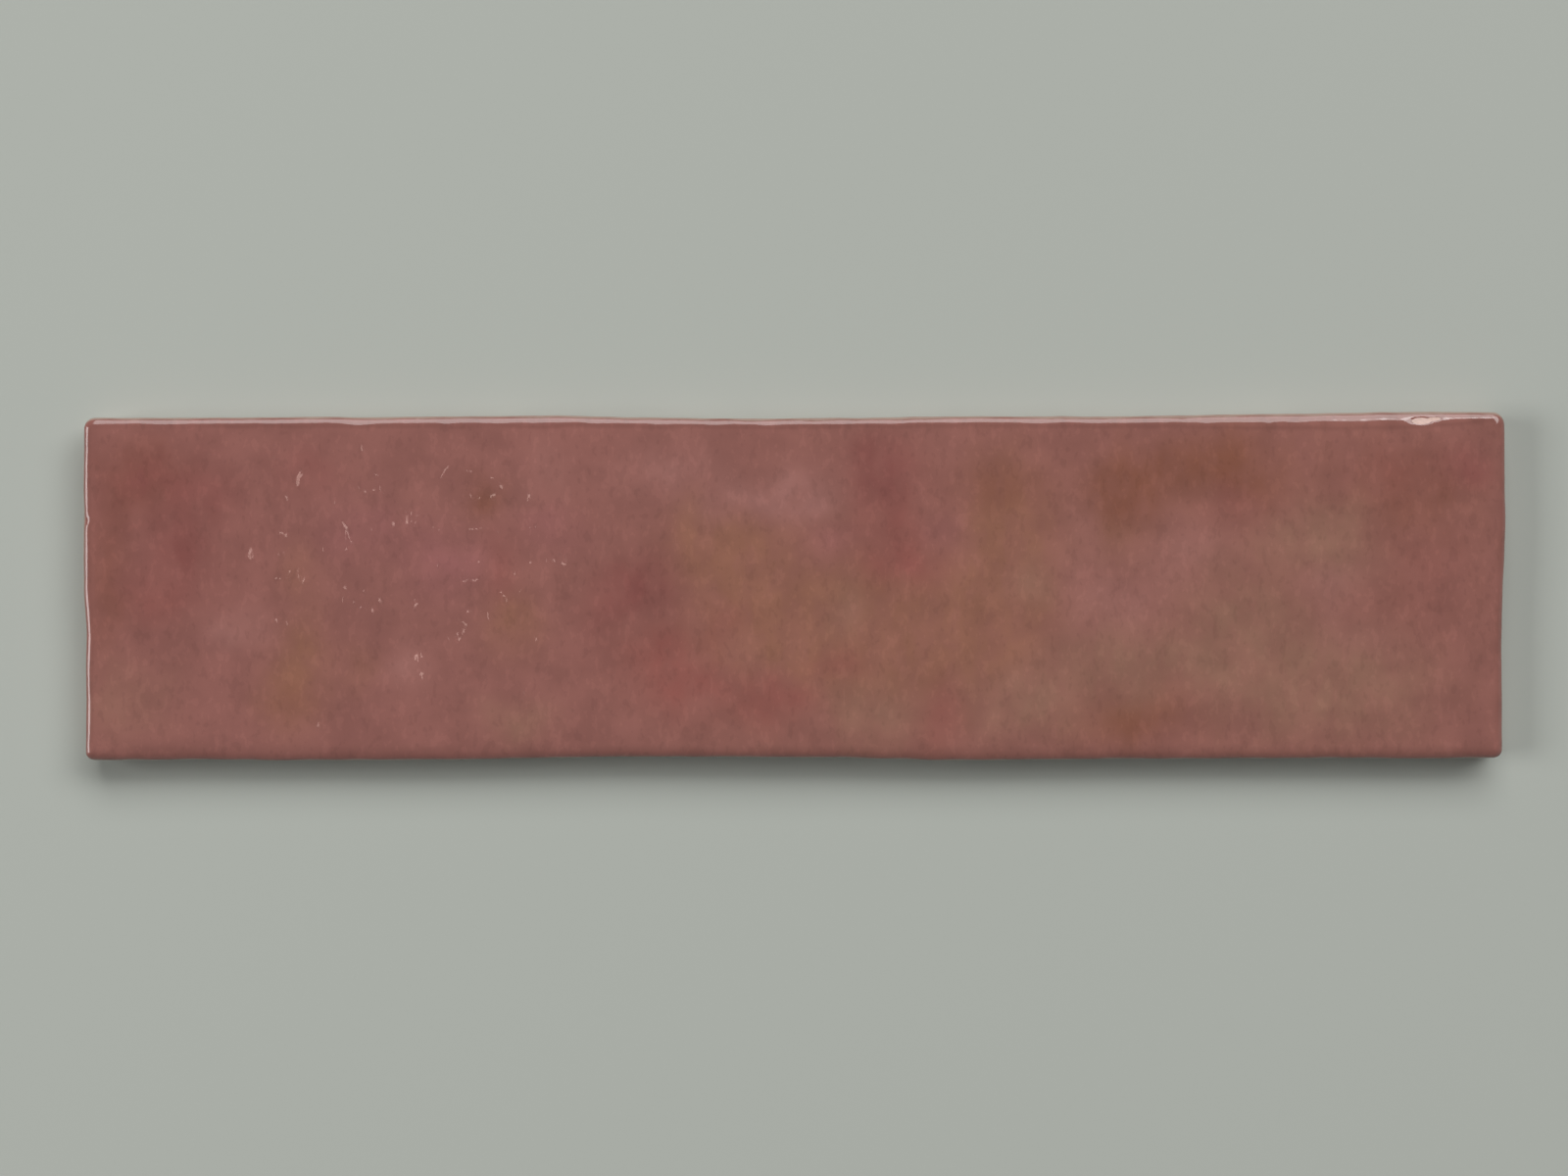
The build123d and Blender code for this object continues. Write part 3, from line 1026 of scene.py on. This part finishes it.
@dataclass(frozen=True)
class GlazeFinish:
    """Mottled rose glaze over a buff fired body. Colours are as seen, 0 to 255, and sizes in mm."""

    rose: Colour = (140, 92, 85)
    ochre: Colour = (143, 97, 80)
    ember: Colour = (140, 84, 77)
    mauve: Colour = (153, 105, 98)
    umber: Colour = (127, 80, 64)
    sage: Colour = (143, 103, 88)
    plum: Colour = (130, 78, 73)
    blush: Colour = (150, 96, 94)
    # Pale arris colour: partly thin glaze over the body, partly a painted sheen
    thin_and_sheen: Colour = (160, 138, 126)
    # Darker glaze: for the band inside the arris, and where the glaze pooled at its line
    dark_glaze: Colour = (112, 72, 65)
    body: Colour = (208, 174, 162)
    body_dust: Colour = (224, 194, 184)
    glaze_roughness: float = 0.04
    body_roughness: float = 0.85

    # Clouds, grain and broken patches of the glaze's colour
    streak: float = 0.55
    glaze_detail: float = 4.0
    cloud_spacing: float = 6.0
    cloud_shade: Span = Span(0.25, 0.75, 0.91, 1.09)
    cloud_thin_and_sheen: Span = Span(0.3, 0.6, 0.7, 1.0)
    grain_spacing: float = 1.3
    grain_light: Span = Span(0.57, 0.63, 0.0, 0.08)
    grain_dark: Span = Span(0.35, 0.42, 0.92, 1.0)
    breakup_spacing: float = 3.2
    breakup: Span = Span(0.32, 0.66, 0.65, 1.0)

    # Clouds and flecks of the bare body's colour
    body_spacing: float = 12.0
    body_detail: float = 4.0
    body_cloud: Span = Span(0.35, 0.7)
    fleck_spacing: float = 0.6
    fleck_detail: float = 2.0
    fleck_shade: Span = Span(0.2, 0.7, 0.85, 1.0)

    # The end of the glaze: its frayed line and the glaze that has pooled along it
    fray_spacing: float = 1.2
    fray_detail: float = 2.0
    fray_height: float = 0.5
    line_edge: Span = Span(-0.08, 0.08)
    line_pool: float = 0.15
    line_pool_reach: float = 0.5
    line_pool_share: float = 0.5

    # Relief too fine for the mesh
    peel_height: float = 0.06
    peel_spacing: float = 2.2
    peel_stretch: float = 0.6
    peel_detail: float = 1.0
    pit_height: float = 0.08
    pit_spacing: float = 0.5
    pit_detail: float = 3.0

    def tone_colour(self, tone: Tone) -> tuple[float, float, float, float]:
        """Gives the linear colour of a tone."""
        return linear(getattr(self, tone.value))

    def glaze_colour(self, graph: NodeGraph) -> bpy.types.NodeSocket:
        """Mixes the glaze's colour: tones in soft patches, clouds, grain, and its edge, whose pale border
        is partly a painted sheen.

        Args:
            graph: the node tree that it is made in.

        Returns:
            The socket that gives the colour.
        """
        streaked = graph.millimetres(self.streak)
        cloud = graph.noise(graph.millimetres(), self.cloud_spacing, self.glaze_detail)
        grain = graph.noise(streaked, self.grain_spacing, self.glaze_detail)
        broken = graph.noise(streaked, self.breakup_spacing, self.glaze_detail)
        breakup = graph.ramp(broken, self.breakup)
        colour = linear(self.rose)
        for tone in Tone:
            share = graph.math("MULTIPLY", graph.attribute(tone), breakup)
            colour = graph.blend(share, colour, self.tone_colour(tone))
        colour = graph.shade(colour, graph.ramp(cloud, self.cloud_shade))
        light, dark = graph.ramp(grain, self.grain_light), graph.ramp(grain, self.grain_dark)
        colour = graph.shade(colour, graph.math("ADD", light, dark))
        # A darker band just inside the arris
        colour = graph.blend(graph.attribute(Mark.RIM), colour, linear(self.dark_glaze))
        # Pale arris border, varied by the clouds: partly thin glaze, partly a painted sheen
        thin_and_sheen = graph.math("MULTIPLY", graph.attribute(Mark.THIN), graph.ramp(cloud, self.cloud_thin_and_sheen))
        return graph.blend(thin_and_sheen, colour, linear(self.thin_and_sheen))

    def body_colour(self, graph: NodeGraph) -> bpy.types.NodeSocket:
        """Mixes the colour of the bare fired body, on the lower walls and the back.

        Args:
            graph: the node tree that it is made in.

        Returns:
            The socket that gives the colour.
        """
        place = graph.millimetres()
        cloud = graph.ramp(graph.noise(place, self.body_spacing, self.body_detail), self.body_cloud)
        fleck = graph.ramp(graph.noise(place, self.fleck_spacing, self.fleck_detail), self.fleck_shade)
        colour = graph.blend(cloud, linear(self.body), linear(self.body_dust))
        return graph.shade(colour, fleck)

    def material(self) -> bpy.types.Material:
        """Makes the tile's one material, glazed above its glaze line and bare below it.

        Returns:
            The material.
        """
        material = bpy.data.materials.new("rose_glaze")
        graph = NodeGraph(material)
        fray = graph.noise(graph.millimetres(), self.fray_spacing, self.fray_detail)
        shift = graph.math("MULTIPLY", graph.math("SUBTRACT", fray, NOISE_MIDDLE), self.fray_height)
        edge = graph.math("ADD", graph.attribute(Mark.OVER_LINE), shift)
        glazed = graph.ramp(edge, self.line_edge)
        pool = graph.band(edge, self.line_pool, self.line_pool_reach, self.line_pool_share)
        glaze = graph.blend(pool, self.glaze_colour(graph), linear(self.dark_glaze))
        colour = graph.blend(glazed, self.body_colour(graph), glaze)
        roughness = graph.ramp(glazed, Span(0.0, 1.0, self.body_roughness, self.glaze_roughness))
        graph.surface(colour, roughness, self.grain(graph, glazed))
        return material

    def grain(self, graph: NodeGraph, glazed: bpy.types.NodeSocket) -> bpy.types.NodeSocket:
        """Bumps the surface: fine orange peel in the glaze, and pits in the bare body.

        Args:
            graph: the node tree that it is made in.
            glazed: share of the glaze at each place.

        Returns:
            The socket that gives the shading normal.
        """
        peel = graph.noise(graph.millimetres(self.peel_stretch), self.peel_spacing, self.peel_detail)
        pit = graph.noise(graph.millimetres(), self.pit_spacing, self.pit_detail)
        full = graph.math("SUBTRACT", glazed, graph.attribute(Mark.THIN))
        peel = graph.math("MULTIPLY", graph.math("MULTIPLY", peel, self.peel_height), full)
        bare = graph.math("SUBTRACT", 1.0, glazed)
        pit = graph.math("MULTIPLY", graph.math("MULTIPLY", pit, self.pit_height), bare)
        node = graph.add("ShaderNodeBump")
        node.inputs["Strength"].default_value = 1.0
        node.inputs["Distance"].default_value = MM
        graph.feed(node.inputs["Height"], graph.math("ADD", peel, pit))
        return node.outputs["Normal"]


@dataclass(frozen=True)
class BoardFinish:
    """The matte pale board that the tile lies on, and the pale walls around it."""

    board: Colour = (171, 175, 168)
    wall: Colour = (254, 255, 252)
    roughness: float = 0.9

    def material(self) -> bpy.types.Material:
        """Makes the board's material.

        Returns:
            The material.
        """
        material = bpy.data.materials.new("pale_board")
        NodeGraph(material).surface(linear(self.board), self.roughness)
        return material


@dataclass(frozen=True)
class SoftLight:
    """A rectangular lamp that faces the tile, by its bearing in degrees, sizes in metres and light."""

    name: str
    azimuth: float
    elevation: float
    distance: float
    size_x: float
    size_y: float
    radiance: float
    tint: Colour = (255, 255, 255)

    def hang(self, target: Vector) -> None:
        """Hangs the lamp.

        Args:
            target: the point that it faces, in metres.
        """
        bearing, height = radians(self.azimuth), radians(self.elevation)
        away = Vector((sin(bearing) * cos(height), cos(bearing) * cos(height), sin(height)))
        data = bpy.data.lights.new(self.name, "AREA")
        data.shape = "RECTANGLE"
        data.size = self.size_x
        data.size_y = self.size_y
        data.energy = self.radiance * pi * self.size_x * self.size_y
        data.color = linear(self.tint)[:3]
        lamp = bpy.data.objects.new(self.name, data)
        lamp.location = target + away * self.distance
        lamp.rotation_euler = (-away).to_track_quat("-Z", "Y").to_euler()
        bpy.context.scene.collection.objects.link(lamp)


LAMPS = (
    SoftLight(
        "key_lamp", azimuth=2.0, elevation=48.0, distance=5.0, size_x=3.2, size_y=2.8, radiance=4.6
    ),
    SoftLight(
        "fill_lamp", azimuth=50.0, elevation=48.0, distance=3.0, size_x=1.5, size_y=1.4, radiance=5.7
    ),
    SoftLight(
        "side_lamp", azimuth=-90.0, elevation=39.0, distance=2.0, size_x=0.9, size_y=0.8, radiance=7.6
    ),
    SoftLight(
        "glint_lamp", azimuth=-83.0, elevation=75.5, distance=0.56, size_x=0.008, size_y=0.008,
        radiance=5.5, tint=(255, 222, 210),
    ),
)


@dataclass(frozen=True)
class Studio:
    """The stage: pale board, soft lamps, ambient light and the camera overhead.

    The board's reach and the camera's nearest distance are in metres, and the rest of the camera's
    sizes in mm. The walls span the ambient light from their top up to the ceiling.
    """

    board: BoardFinish = BoardFinish()
    board_reach: float = 1.4
    lamps: tuple[SoftLight, ...] = LAMPS
    walls: Span = Span(0.1, 0.5, 0.14, 0.05)
    seen_gain: float = 3.0
    lens: float = 70.0
    image_width: float = 276.0
    sensor: float = 36.0
    nearest: float = 0.01
    camera_x: float = -1.9
    camera_y: float = -0.31
    face_level: float = 8.0

    def lay_board(self) -> bpy.types.Object:
        """Lays the board under the tile.

        Returns:
            The board.
        """
        bm = bmesh.new()
        bmesh.ops.create_grid(bm, x_segments=1, y_segments=1, size=self.board_reach)
        mesh = bpy.data.meshes.new("pale_board")
        bm.to_mesh(mesh)
        bm.free()
        mesh.materials.append(self.board.material())
        board = bpy.data.objects.new("pale_board", mesh)
        bpy.context.scene.collection.objects.link(board)
        return board

    def light(self) -> None:
        """Hangs the lamps and sets the ambient light: pale walls under a dim ceiling.

        The walls are paler to the camera and in the gloss than the light that they cast.
        """
        for lamp in self.lamps:
            lamp.hang(Vector((0.0, 0.0, self.face_level * MM)))
        world = bpy.data.worlds.new("studio_walls")
        graph = NodeGraph(world)
        split = graph.add("ShaderNodeSeparateXYZ")
        graph.feed(split.inputs[0], graph.add("ShaderNodeTexCoord").outputs["Generated"])
        cast = graph.ramp(split.outputs["Z"], self.walls)
        ray = graph.add("ShaderNodeLightPath").outputs
        seen = graph.math("MAXIMUM", ray["Is Camera Ray"], ray["Is Glossy Ray"])
        gain = graph.math("ADD", graph.math("MULTIPLY", seen, self.seen_gain - 1), 1.0)
        back = graph.add("ShaderNodeBackground")
        back.inputs["Color"].default_value = linear(self.board.wall)
        graph.feed(back.inputs["Strength"], graph.math("MULTIPLY", cast, gain))
        graph.feed(graph.add("ShaderNodeOutputWorld").inputs["Surface"], back.outputs[0])
        bpy.context.scene.world = world

    def set_camera(self) -> None:
        """Sets the camera straight above the tile, at the photograph's framing."""
        data = bpy.data.cameras.new("overhead")
        data.lens = self.lens
        data.sensor_fit = "HORIZONTAL"
        data.sensor_width = self.sensor
        data.clip_start = self.nearest
        camera = bpy.data.objects.new("overhead", data)
        rise = self.image_width * self.lens / self.sensor
        camera.location = (self.camera_x * MM, self.camera_y * MM, (self.face_level + rise) * MM)
        bpy.context.scene.collection.objects.link(camera)
        bpy.context.scene.camera = camera
        bpy.context.scene.view_settings.view_transform = "Standard"


def main() -> None:
    """Builds the tile and its stage, in order, and reports each piece."""
    logging.basicConfig(level=logging.INFO, format="%(name)s: %(message)s")
    tile = FiredTile().build()
    tile.data.materials.append(GlazeFinish().material())
    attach(tile, BODY)
    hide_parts(NODE)
    triangles = sum(len(face.vertices) - 2 for face in tile.data.polygons)
    log.info("%s: %d triangles", tile.name, triangles)
    studio = Studio()
    log.info("%s laid", studio.lay_board().name)
    studio.light()
    studio.set_camera()


if __name__ == "__main__":
    main()
